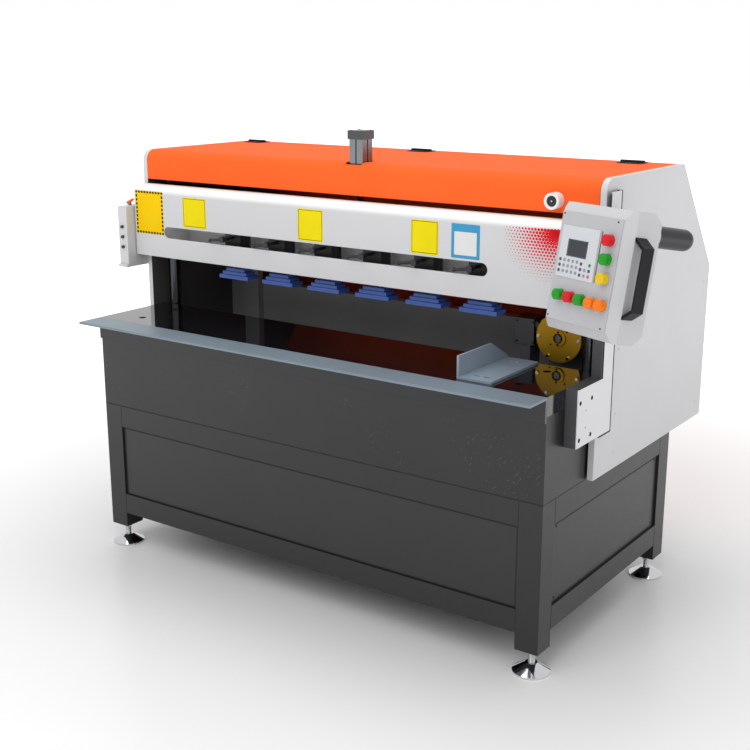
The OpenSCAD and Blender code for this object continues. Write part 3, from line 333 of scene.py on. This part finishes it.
LOOK = {
    "base_frame": "charcoal", "levelling_feet": "chrome", "front_panel": "charcoal_panel",
    "infill_panels": "charcoal_panel", "deck_plate": "dark", "marble_top": "granite",
    "marble_apron": "apron", "edge_profile": "profile", "fence": "bluegrey",
    "support_plate": "plate", "spacer_block": "block", "left_housing": "housing",
    "right_housing": "housing", "rear_cover": "orange", "hood": "orange",
    "hinge_fixed_leaves": "hinge", "hinge_moving_leaves": "hinge", "hood_knob": "knob",
    "top_crossbeam": "dark", "pressing_beam": "beam", "beam_cover": "white",
    "guide_columns": "column", "cylinder_body": "tube", "cylinder_rod": "shaft",
    "way_beam": "dark", "linear_rails": "rail", "carriage": "iron", "spindle_motor": "motor",
    "cutter_disc": "gold", "cutter_inserts": "insert", "dust_nozzle": "block",
    "rear_guard": "guard", "pneumatic_box": "box", "arm_bracket": "dark",
    "console_arm": "arm", "console_hub": "console", "console_box": "console",
    "console_face": "face", "control_panel": "film", "console_handle": "anodised",
    "button_1": "red", "button_2": "green", "button_3": "yellow", "button_4": "green",
    "button_5": "red", "button_6": "green", "button_7": "amber", "button_8": "amber",
}
for i in range(1, 7):
    LOOK[f"press_pad_{i}"] = "pad"
    LOOK[f"lock_lever_{i}"] = "black"
for node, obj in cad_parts.items():
    mat = MAT[LOOK[node]]
    if not obj.material_slots:
        obj.data.materials.append(mat)
    for s in obj.material_slots:
        s.material = mat


# A piece is collected in one bmesh, in machine millimetres
class Piece:
    def __init__(self):
        self.bm = bmesh.new()

    def add(self, verts, faces, m=Matrix.Identity(4), smooth=False):
        vs = [self.bm.verts.new(m @ Vector(v)) for v in verts]
        for f in faces:
            self.bm.faces.new([vs[i] for i in f]).smooth = smooth

    def turned(self, rings, seg=24, m=Matrix.Identity(4), close_start=True, close_end=True, smooth=True):
        """Rings of (radius, height) round Z; a radius may be ("hex", r) for a hexagon."""
        verts, faces = [], []
        for r, z in rings:
            for k in range(seg):
                a = 2 * math.pi * k / seg
                q = r
                if isinstance(r, tuple):
                    b = (a + math.pi / 6) % (math.pi / 3) - math.pi / 6
                    q = r[1] * math.cos(math.pi / 6) / math.cos(b)
                verts.append((q * math.cos(a), q * math.sin(a), z))
        for i in range(len(rings) - 1):
            for k in range(seg):
                j = (k + 1) % seg
                faces.append((i * seg + k, i * seg + j, (i + 1) * seg + j, (i + 1) * seg + k))
        if close_start:
            faces.append(tuple(range(seg - 1, -1, -1)))
        if close_end:
            n = (len(rings) - 1) * seg
            faces.append(tuple(n + k for k in range(seg)))
        self.add(verts, faces, m, smooth)

    def plate(self, w, h, t, r, m=Matrix.Identity(4), seg=6):
        """A thin plate in X and Z that stands out along -Y by t, with round corners of radius r."""
        outline = []
        for cx, cz, a0 in ((w / 2 - r, h / 2 - r, 0), (-w / 2 + r, h / 2 - r, 90),
                           (-w / 2 + r, -h / 2 + r, 180), (w / 2 - r, -h / 2 + r, 270)):
            for k in range(seg + 1):
                a = math.radians(a0 + 90 * k / seg)
                outline.append((cx + r * math.cos(a), cz + r * math.sin(a)))
        n = len(outline)
        e = min(0.15, t / 2)
        verts = [(x, 0, z) for x, z in outline] + [(x, -t + e, z) for x, z in outline]
        verts += [(x * (1 - 2 * e / w), -t, z * (1 - 2 * e / h)) for x, z in outline]
        faces = [(k, (k + 1) % n, n + (k + 1) % n, n + k) for k in range(n)]
        faces += [(n + k, n + (k + 1) % n, 2 * n + (k + 1) % n, 2 * n + k) for k in range(n)]
        faces.append(tuple(2 * n + k for k in range(n)))
        self.add(verts, faces, m)

    def done(self, name, body, mat, slot):
        bmesh.ops.recalc_face_normals(self.bm, faces=self.bm.faces)
        mesh = bpy.data.meshes.new(name)
        self.bm.to_mesh(mesh)
        self.bm.free()
        for v in mesh.vertices:
            v.co = ORIGIN + v.co / 1000
        obj = bpy.data.objects.new(name, mesh)
        bpy.context.scene.collection.objects.link(obj)
        mesh.materials.append(MAT[mat])
        mesh.set_sharp_from_angle(angle=math.radians(35))
        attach(obj, body)


def facing(axis, place, spin=0.0):
    """A matrix that turns +Z to an axis and moves to a place."""
    z = Vector(axis).normalized()
    return Matrix.Translation(Vector(place)) @ z.to_track_quat("Z", "Y").to_matrix().to_4x4() \
        @ Matrix.Rotation(spin, 4, "Z")


def socket_screw(piece, axis, place, r, h):
    c = r * 0.12
    piece.turned([(r, 0), (r, h - c), (r - c, h), (r * 0.62, h), (("hex", r * 0.52), h),
                  (("hex", r * 0.52), h * 0.4)], 18, facing(axis, place, random.random()), False)


def dome_screw(piece, axis, place, r, h):
    rings = [(r, 0), (r, h * 0.25)]
    rings += [(r * math.cos(a), h * (0.25 + 0.75 * math.sin(a))) for a in (0.35, 0.7, 1.0)]
    rings += [(("hex", r * 0.42), h), (("hex", r * 0.42), h * 0.3)]
    piece.turned(rings, 18, facing(axis, place, random.random()), False)


# Console frame
YAW, TILT = math.radians(21.8), math.radians(9.8)
CONSOLE = Matrix.Translation((998, -428, 1259.7)) @ Matrix.Rotation(-YAW, 4, "Z") \
    @ Matrix.Rotation(-TILT, 4, "X")


def on_face(x, z, out=0.0):
    return CONSOLE @ Matrix.Translation((x, -3 - out, z))


# Generic films and a fading pattern of dots on the beam
BEAM_Y = mm("beam_cover")[0].y


def film(name, x0, x1, z0, z1, mat, r, lift=0.0):
    p = Piece()
    p.plate(x1 - x0, z1 - z0, 0.4, r, Matrix.Translation(((x0 + x1) / 2, BEAM_Y - lift, (z0 + z1) / 2)))
    p.done(name, "beam", mat, "white_paint")


# The cover's wide upper bend, which stands higher than the plain flange
def cover_bend(rise, radius):
    lo, hi = mm("beam_cover")
    skin = lo.y - 0.12
    flange_bend, gap = 10, 0.35
    rear, low, top = hi.y, hi.z - 13, hi.z + rise
    outer = [(skin, low), (skin, top - radius)]
    for i in range(1, 25):
        a = math.radians(180 - 90 * i / 24)
        outer.append((skin + radius + radius * math.cos(a), top - radius + radius * math.sin(a)))
    outer.append((rear, top))
    inner = [(rear, hi.z + 0.4), (lo.y + flange_bend, hi.z + 0.4)]
    r = flange_bend + gap
    for i in range(1, 9):
        a = math.radians(90 + 75 * i / 8)
        inner.append((lo.y + flange_bend + r * math.cos(a), hi.z - flange_bend + r * math.sin(a)))
    ring = outer + inner
    n = len(ring)
    p = Piece()
    faces = [(k, (k + 1) % n, n + (k + 1) % n, n + k) for k in range(n)]
    faces += [tuple(range(n)), tuple(range(2 * n - 1, n - 1, -1))]
    p.add([(x, y, z) for x in (-hi.x, hi.x) for y, z in ring], faces)
    for face in p.bm.faces:
        face.smooth = len(face.verts) == 4
    p.done("cover_bend", "beam", "bend", "white_paint")


cover_bend(23, 29)

SQUARES = ((-695, -581), (-154.5, -47), (309.5, 412.5))
film("film_tall", -938, -796, 1181, 1341, "decal_amber", 4)
for i, (x0, x1) in enumerate(SQUARES):
    film(f"film_square_{i + 1}", x0, x1, 1221, 1330, "decal_yellow", 3)
film("film_blue", 461, 564, 1221, 1329, "decal_blue", 2)
film("film_pale", 472, 553, 1231, 1304, "decal_white", 2, 0.35)

dash = Piece()
x0, x1, z0, z1 = -933, -801, 1186, 1336
step, dash_l, dash_w = 14.6, 9.4, 8.0
for z in (z0, z1):
    n = int((x1 - x0) / step)
    for k in range(n + 1):
        x = x0 + (x1 - x0) * k / n
        dash.plate(dash_l, dash_w, 0.3, 0.6, Matrix.Translation((x, BEAM_Y - 0.35, z)), 2)
for x in (x0, x1):
    n = int((z1 - z0) / step)
    for k in range(1, n):
        z = z0 + (z1 - z0) * k / n
        dash.plate(dash_w, dash_l, 0.3, 0.6, Matrix.Translation((x, BEAM_Y - 0.35, z)), 2)
dash.done("film_border", "beam", "decal_black", "white_paint")

rule = Piece()
for x0, x1 in SQUARES:
    for z in (1225.5, 1325.5):
        rule.plate(x1 - x0 - 8, 1.6, 0.25, 0.5, Matrix.Translation(((x0 + x1) / 2, BEAM_Y - 0.36, z)), 2)
    for x in (x0 + 4, x1 - 4):
        rule.plate(1.6, 100, 0.25, 0.5, Matrix.Translation((x, BEAM_Y - 0.36, 1275.5)), 2)
rule.done("film_rules", "beam", "decal_black", "white_paint")

# The dots shrink to the left and downwards from the beam's upper right corner
dots = Piece()
pitch, right, top, wide, tall = 11.0, 840, 1333, 205, 165
for i in range(-1, 18):
    for j in range(19):
        x = right - i * pitch * 0.98 - (j % 2) * pitch / 2
        z = top - j * pitch * 0.86
        u, v = (right - x) / wide, (top - z) / tall
        if x > right + 6:
            continue
        fade = 1.0 - 0.92 * math.hypot(max(0.0, u - 0.08) * 1.02, max(0.0, v - 0.05) * 1.05)
        fade -= 0.25 * max(0.0, (0.08 - u) * 6) * v
        r = pitch * 0.60 * max(0.0, fade)
        if r < 0.7:
            continue
        dots.turned([(r, 0), (r, 0.25)], 12, facing((0, -1, 0), (x, BEAM_Y, z)), False, True, False)
dots.done("dot_pattern", "beam", "decal_red", "white_paint")

# Dial of the hood knob
lo, hi = mm("hood_knob")
m = facing((0, -1, 0), ((lo.x + hi.x) / 2, lo.y + 3.0, (lo.z + hi.z) / 2))
dial = Piece()
dial.turned([(16.2, 0), (16.2, 1.2), (15.4, 1.9), (12.6, 1.9), (12.2, 1.3), (7.6, 1.3), (7.2, 2.4),
             (5.6, 2.7), (2.6, 2.7), (2.4, 2.0)], 40, m, False)
dial.done("knob_dial", "hood", "black", "black_plastic")
dot = Piece()
dot.turned([(2.2, 2.0), (2.1, 2.8), (1.2, 3.2)], 20, m, False)
dot.done("knob_dot", "hood", "knob", "white_plastic")

# Painted screws of the housings and black screws of the panels
s = Piece()
for y, z in ((-60, 955.2), (-60, 745.4), (-60, 1340), (-60, 620), (640, 620), (640, 1060)):
    dome_screw(s, (1, 0, 0), (mm("right_housing")[1].x, y, z), 4.0, 1.6)
    dome_screw(s, (-1, 0, 0), (mm("left_housing")[0].x, y, z), 4.0, 1.6)
s.done("housing_screws", "frame", "white", "white_paint")

s = Piece()
lo, hi = mm("infill_panels")
panel_lo, panel_hi = mm("front_panel")
for z in (panel_lo.z + 18, panel_hi.z - 18):
    for y in (-370, 370):
        dome_screw(s, (1, 0, 0), (hi.x, y, z), 3.4, 1.4)
        dome_screw(s, (-1, 0, 0), (lo.x, y, z), 3.4, 1.4)
    for x in (-800, 0, 800):
        dome_screw(s, (0, 1, 0), (x, hi.y, z), 3.4, 1.4)
s.done("panel_screws", "frame", "screw_black", "charcoal_paint")


# Black seals round the panels, with a wider strip where the frame's edge overhangs them; that extra width
# is painted shade under the edge
def seal_frame(piece, turn, half, low, high, left, right, under, over):
    """Strips round a panel whose face lies in the X and Z of a matrix."""
    for z, h in ((low + under / 2, under), (high - over / 2, over)):
        piece.plate(2 * half, h, 1.2, 0.6, turn @ Matrix.Translation((0, 0, z)), 3)
    mid, tall = (low + under + high - over) / 2, high - low - under - over
    for x, w in ((left / 2 - half, left), (half - right / 2, right)):
        piece.plate(w, tall, 1.2, 0.6, turn @ Matrix.Translation((x, 0, mid)), 3)


p = Piece()
lo, hi = mm("front_panel")
seal_frame(p, Matrix.Translation((0, lo.y, 0)), hi.x, lo.z, hi.z, 3.2, 7.5, 3.2, 8.6)
front_half = hi.x
lo, hi = mm("infill_panels")
side_half = -lo.y
for spin, half, place in ((90, side_half, (hi.x, 0, 0)), (-90, side_half, (lo.x, 0, 0)),
                          (180, front_half, (0, hi.y, 0))):
    turn = Matrix.Translation(place) @ Matrix.Rotation(math.radians(spin), 4, "Z")
    seal_frame(p, turn, half, lo.z, hi.z, 3.2, 3.2, 3.2, 12.0)

# Dark joints between the frame's posts and rails
frame_half, frame_front = (base_hi.x - ORIGIN.x) * 1000, (base_lo.y - ORIGIN.y) * 1000
low_rail = 135
for z0, z1 in ((low_rail, lo.z), (hi.z, base_hi.z * 1000)):
    for spin, place, half in ((0, (0, frame_front, 0), front_half), (180, (0, -frame_front, 0), front_half),
                              (90, (frame_half, 0, 0), side_half), (-90, (-frame_half, 0, 0), side_half)):
        turn = Matrix.Translation(place) @ Matrix.Rotation(math.radians(spin), 4, "Z")
        for x in (-half, half):
            p.plate(2.6, z1 - z0, 0.3, 0.3, turn @ Matrix.Translation((x, 0, (z0 + z1) / 2)), 2)

# Joint under the apron, and black strips that stand out behind and below the side plate as painted shade of
# the gap between plate and housing
lo, hi = mm("marble_apron")
p.plate(hi.x - lo.x, 4.6, 0.35, 0.3, Matrix.Translation(((lo.x + hi.x) / 2, lo.y, lo.z)), 2)
for sx, x in ((1, hi.x), (-1, lo.x)):
    turn = Matrix.Translation((x, (lo.y + hi.y) / 2, lo.z)) @ Matrix.Rotation(math.radians(90 * sx), 4, "Z")
    p.plate(hi.y - lo.y, 2.6, 0.35, 0.3, turn, 2)
lo, hi = mm("support_plate")
skin = mm("right_housing")[1].x
shade_strip_depth = lo.x - skin - 0.2
turn = Matrix.Rotation(math.radians(90), 4, "Z")
for w, h, y, z in ((14, hi.z - lo.z, hi.y + 7.1, (lo.z + hi.z) / 2), (80, 8, hi.y - 26, lo.z - 4.1)):
    p.plate(w, h, shade_strip_depth, 0.3, Matrix.Translation((skin, y, z)) @ turn, 2)
# The black seals, joints and painted shade strips above make one object.
p.done("seals_and_shade_strips", "frame", "seal", "black_plastic")

# Small valve lever behind the pneumatic box
p = Piece()
lo, hi = mm("pneumatic_box")
m = Matrix.Translation((lo.x + 15, lo.y + 60, hi.z))
p.turned([(6, 0), (6, 10), (4.5, 12), (4.5, 16)], 20, m, False)
p.done("valve_stem", "frame", "screw", "dark_steel")
p = Piece()
turn = m @ Matrix.Translation((0, 0, 14)) @ Matrix.Rotation(math.radians(-28), 4, "Y")
p.turned([(3.2, -22), (5.2, -18), (5.6, 4), (7.6, 9), (7.0, 13), (3.0, 15)], 20,
         turn @ Matrix.Rotation(math.radians(-90), 4, "Y"))
p.done("valve_lever", "frame", "orange", "orange_paint")

# Screws of the hinge leaves
for part, body, side in (("hinge_fixed_leaves", "frame", 1), ("hinge_moving_leaves", "hood", -1)):
    s = Piece()
    lo, hi = mm(part)
    y = hi.y - 9 if side > 0 else lo.y + 9
    for x in (-844.5, -44, 792):
        for dx in (-28, 28):
            dome_screw(s, (0, 0, 1), (x + dx, y, lo.z + 3), 3.6, 1.2)
    s.done(f"hinge_screws_{body}", body, "screw_black", "black_hinge")

# Screws of the cylinder cap
lo, hi = mm("cylinder_body")
s = Piece()
cx, cy = (lo.x + hi.x) / 2, (lo.y + hi.y) / 2
for sx in (-1, 1):
    for sy in (-1, 1):
        socket_screw(s, (0, 0, 1), (cx + sx * 23, cy + sy * 23, hi.z), 4.2, 1.6)
s.done("cylinder_screws", "frame", "screw", "light_aluminium")

# Hub and screws of the cutter
lo, hi = mm("cutter_disc")
sx, sz = (lo.x + hi.x) / 2, (lo.z + hi.z) / 2
front = mm("cutter_inserts")[1].y
p = Piece()
p.turned([(16.4, 0), (16.4, 1.0), (15.6, 1.7), (13.8, 1.7), (13.2, 0.9)], 40,
         facing((0, -1, 0), (sx, lo.y, sz)), False, False)
p.done("hub_ring", "spindle", "screw_black", "gold_disc")
p = Piece()
p.turned([(("hex", 10.5), -7.6), (("hex", 10.5), -2.0), (9.0, -1.2), (5.0, -1.2), (("hex", 4.6), -1.2),
          (("hex", 4.6), -5.0)], 36, facing((0, -1, 0), (sx, lo.y, sz)), False)
p.done("hub_nut", "spindle", "screw", "rail_steel")
s = Piece()
for z in (sz - 20.8, sz + 20.8):
    socket_screw(s, (0, -1, 0), (sx, lo.y, z), 3.6, 1.6)
for a in (40, 220):
    x, z = sx + 37 * math.cos(math.radians(a)), sz + 37 * math.sin(math.radians(a))
    socket_screw(s, (0, -1, 0), (x, front, z), 3.0, 2.0)
s.done("disc_screws", "spindle", "screw_black", "black_plastic")

# Screws with washers in the slots of the fence
lo, hi = mm("fence")
s = Piece()
for y in (lo.y + 40, lo.y + 256):
    spot = (lo.x + 66, y, lo.z + 8)
    s.turned([(8.5, 0), (8.5, 0.8), (8.0, 1.2), (4, 1.2)], 28, facing((0, 0, 1), spot), False, False)
    socket_screw(s, (0, 0, 1), (spot[0], spot[1], spot[2] + 1.2), 5.0, 2.6)
s.done("fence_screws", "fence", "bluegrey", "blue_grey_profile")

# Screws of the nozzle
lo, hi = mm("dust_nozzle")
s = Piece()
for x in (lo.x + 10, lo.x + 70):
    for z in (lo.z + 10, hi.z - 10):
        socket_screw(s, (0, -1, 0), (x, lo.y, z), 3.2, 2.2)
s.done("nozzle_screws", "carriage", "screw_black", "dark_steel")

# Threads of the feet
p = Piece()
lo, hi = mm("levelling_feet")
for fx in (-885, 885):
    for fy in (-437, 437):
        rings, z = [], 33.0
        while z < 62.5:
            rings += [(10.05, z), (11.2, z + 0.9), (10.05, z + 1.8)]
            z += 2.0
        p.turned(rings, 28, Matrix.Translation((fx, fy, 0)), False, False, False)
p.done("foot_threads", "frame", "chrome", "foot_chrome")

# Screws, screen, keys and lens rims of the console, and a black strip painting the shadow in the slit
# beside its face plate
s = Piece()
for x, z in ((101.5, 144.2), (-112.7, 146), (-113.2, -143.4), (102.2, -146)):
    s.turned([(2.6, 0), (2.6, 0.7), (2.0, 1.2), (("hex", 1.3), 1.2), (("hex", 1.3), 0.4)], 18,
             on_face(x, z) @ Matrix.Rotation(math.radians(90), 4, "X"), False)
s.done("face_screws", "console", "screw_black", "black_plastic")

p = Piece()
p.plate(74, 42, 0.5, 2, on_face(-37, 54, 1.0))
p.done("screen_glass", "console", "screen", "black_plastic")
p = Piece()
for x, z, w, h in ((-37, 76.5, 80, 3), (-37, 31.5, 80, 3), (-75.5, 54, 3, 45), (1.5, 54, 3, 45)):
    p.plate(w, h, 0.5, 0.8, on_face(x, z, 2.0), 3)
p.done("screen_bezel", "console", "key_navy", "black_plastic")

keys = {"key_grey": Piece(), "key_navy": Piece(), "key_rose": Piece(), "green": Piece()}
for row in range(3):
    for col in range(8):
        x = -98 + col * 17.2
        z = 18 - row * 15.5 - (3.0 if col > 4 else 0)
        kind = "key_navy" if col in (0, 5, 7) else "key_grey"
        if (row, col) == (2, 7):
            kind = "key_rose"
        if (row, col) == (0, 7):
            kind = "green"
        if (row, col) == (0, 6):
            continue
        keys[kind].plate(9.5, 9.0, 0.6, 3.2, on_face(x, z, 2.0), 5)
for kind, piece in keys.items():
    piece.done("keys_" + kind, "console", kind, "label_film")

# Rims on the buttons' lenses
LENS_SLOT = {"red": "red_button", "green": "green_button", "yellow": "yellow_button",
             "amber": "orange_button"}
for i in range(1, 9):
    button = f"button_{i}"
    points = [CONSOLE.inverted() @ ((v.co - ORIGIN) * 1000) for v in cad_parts[button].data.vertices]
    front = min(q.y for q in points)
    x, z = ((min(q[k] for q in points) + max(q[k] for q in points)) / 2 for k in (0, 2))
    m = CONSOLE @ Matrix.Translation((x, front, z)) @ Matrix.Rotation(math.radians(90), 4, "X")
    p = Piece()
    p.turned([(12.6, 0), (12.4, 0.8), (11.6, 1.2), (10.2, 1.2), (9.4, 0.5), (6.0, 0.2)], 32, m,
             False, False)
    p.turned([(5.2, 0), (5.0, 0.8), (3.6, 1.3), (1.2, 1.4)], 24, m, False)
    p.done(f"lens_rim_{i}", f"button_body_{i}", LOOK[button], LENS_SLOT[LOOK[button]])

# Painted shadow: a thin black strip where the slit beside the face plate lies in shade.
p = Piece()
p.plate(3.2, 142, 0.5, 1.2, on_face(48.5, 42.5, 0.0), 4)
p.done("slit_shadow_strip", "console", "black", "black_plastic")


# Floor, light and camera
def stage_material(name):
    """White that begins to glow away from the machine, so that floor and background meet unseen."""
    k = Nodes(name)
    k.p.inputs["Base Color"].default_value = (0.97, 0.97, 0.97, 1)
    k.p.inputs["Roughness"].default_value = 0.3
    k.p.inputs["Specular IOR Level"].default_value = 0.35
    far = k.new("ShaderNodeVectorMath", operation="LENGTH")
    k.link(k.co, far.inputs[0])
    glow = k.new("ShaderNodeMapRange", interpolation_type="SMOOTHSTEP")
    for key, v in (("From Min", 1.2), ("From Max", 5.0), ("To Min", 0.0), ("To Max", 0.75)):
        glow.inputs[key].default_value = v
    k.link(far.outputs["Value"], glow.inputs["Value"])
    k.p.inputs["Emission Color"].default_value = (1, 1, 1, 1)
    k.link(glow.outputs["Result"], k.p.inputs["Emission Strength"])
    return k.m


bpy.ops.mesh.primitive_circle_add(vertices=96, radius=60, fill_type="NGON", location=(0, 0, 0))
floor = bpy.context.object
floor.name = "floor"
floor.data.materials.append(stage_material("floor_white"))

# The background is 1 for the camera, 0.85 in reflections and 0.6 as light
world = bpy.data.worlds.new("studio")
bpy.context.scene.world = world
world.use_nodes = True
t = world.node_tree
bg = t.nodes["Background"]
bg.inputs["Color"].default_value = (1, 1, 1, 1)
path = t.nodes.new("ShaderNodeLightPath")
strength = None
for ray, extra in (("Is Camera Ray", 0.4), ("Is Transmission Ray", 0.4), ("Is Glossy Ray", 0.25)):
    n = t.nodes.new("ShaderNodeMath")
    n.operation = "MULTIPLY_ADD"
    t.links.new(path.outputs[ray], n.inputs[0])
    n.inputs[1].default_value = extra
    if strength:
        t.links.new(strength, n.inputs[2])
    else:
        n.inputs[2].default_value = 0.6
    strength = n.outputs[0]
t.links.new(strength, bg.inputs["Strength"])


def area(name, place, target, w, h, power):
    light = bpy.data.lights.new(name, "AREA")
    light.shape = "RECTANGLE"
    light.size, light.size_y, light.energy = w, h, power
    obj = bpy.data.objects.new(name, light)
    obj.location = place
    obj.rotation_euler = (Vector(target) - Vector(place)).to_track_quat("-Z", "Y").to_euler()
    bpy.context.scene.collection.objects.link(obj)


area("key", (0.6, -3.8, 4.2), (0, 0, 0.8), 3.5, 3.5, 75)
area("side", (5.0, -0.5, 2.6), (0.5, 0, 0.9), 3.0, 2.5, 12)
area("top", (-0.5, 0.5, 5.0), (0, 0, 0.8), 4.0, 3.0, 80)

# Camera fitted to the photograph's edges
cam = bpy.data.cameras.new("camera")
cam.sensor_width = 36
cam.lens = 57.5
cam_obj = bpy.data.objects.new("camera", cam)
cam_obj.location = at(2423.7, -3426.2, 1842.1)
cam_obj.rotation_euler = (math.radians(90 - 15.10), 0, math.radians(35.46))
bpy.context.scene.collection.objects.link(cam_obj)
bpy.context.scene.camera = cam_obj
bpy.context.scene.view_settings.view_transform = "Standard"
